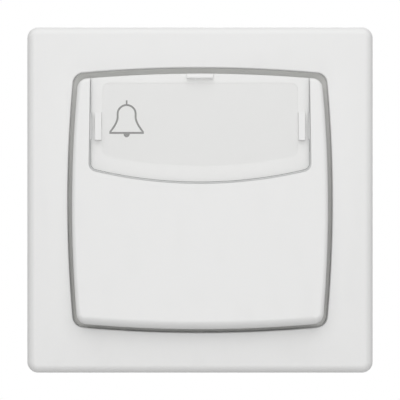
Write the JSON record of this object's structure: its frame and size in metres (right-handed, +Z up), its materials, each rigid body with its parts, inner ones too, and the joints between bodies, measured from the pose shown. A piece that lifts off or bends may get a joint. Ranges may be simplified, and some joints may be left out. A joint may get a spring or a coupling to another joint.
{
  "type": "doorbell push button",
  "caption": "White flush wall push for a doorbell: square cover frame with a bowed opening and a large tilting rocker that holds a clear label window.",
  "frame": {"origin": "middle of the wall plane, midway between the box screws, on the back of the support ring", "axes": "+Y into the wall, +X to the right as seen from the front, +Z up; the front faces -Y"},
  "size_m": [0.082, 0.0347, 0.082],
  "materials": {
    "white_plastic": "smooth white moulded plastic with a soft gloss",
    "grey_plastic": "matt mid-grey moulded plastic",
    "clear_plastic": "clear moulded plastic",
    "label_paper": "pale printed label with a grey outline of a bell",
    "pale_plastic": "natural white moulded plastic",
    "housing_plastic": "dark grey moulded plastic",
    "zinc_steel": "zinc-plated sheet steel",
    "screw_steel": "zinc-plated steel",
    "brass": "stamped brass",
    "plated_brass": "nickel-plated brass",
    "spring_steel": "bright spring wire"
  },
  "bodies": {
    "wall_unit": {"cover_frame": "white_plastic", "bearing_frame": "grey_plastic", "support_ring": "zinc_steel", "mechanism_base": "housing_plastic", "mechanism_cover": "housing_plastic", "cover_screws": "screw_steel", "fixed_contact_left": "brass", "fixed_contact_right": "brass", "terminal_clamp_left": "plated_brass", "terminal_clamp_right": "plated_brass", "terminal_screws": "screw_steel", "claw_screws": "screw_steel", "return_spring": "spring_steel"},
    "rocker_unit": {"rocker": "white_plastic", "label_window": "clear_plastic", "label_card": "label_paper", "yoke": "pale_plastic"},
    "plunger_unit": {"plunger": "pale_plastic", "contact_bridge": "brass"},
    "claw_left_unit": {"claw_left": "zinc_steel"},
    "claw_right_unit": {"claw_right": "zinc_steel"},
    "nut_left_unit": {"claw_nut_left": "zinc_steel"},
    "nut_right_unit": {"claw_nut_right": "zinc_steel"}
  },
  "joints": [
    {"name": "rocker_press", "type": "hinge", "parent": "wall_unit", "child": "rocker_unit", "pos_m": [0, -0.0068, 0], "axis": [1, 0, 0], "range_deg": [0, 6.5], "stiffness_Nm_per_rad": 0.3, "springref_deg": -5.73},
    {"name": "plunger_travel", "type": "slide", "parent": "wall_unit", "child": "plunger_unit", "axis": [0, 1, 0], "range_m": [0, 0.00103], "deforming": ["return_spring"]},
    {"name": "claw_left_draw", "type": "slide", "parent": "wall_unit", "child": "claw_left_unit", "axis": [-0.2983, -0.9545, 0], "range_m": [0, 0.00629]},
    {"name": "claw_nut_left_draw", "type": "slide", "parent": "wall_unit", "child": "nut_left_unit", "axis": [0, -1, 0], "range_m": [0, 0.006]},
    {"name": "claw_right_draw", "type": "slide", "parent": "wall_unit", "child": "claw_right_unit", "axis": [0.2983, -0.9545, 0], "range_m": [0, 0.00629]},
    {"name": "claw_nut_right_draw", "type": "slide", "parent": "wall_unit", "child": "nut_right_unit", "axis": [0, -1, 0], "range_m": [0, 0.006]}
  ],
  "couplings": [
    {"joint": "plunger_travel", "follows": "rocker_press", "m_per_rad": 0.0089952},
    {"joint": "claw_nut_left_draw", "follows": "claw_left_draw", "ratio": 0.95448},
    {"joint": "claw_nut_right_draw", "follows": "claw_right_draw", "ratio": 0.95448}
  ]
}
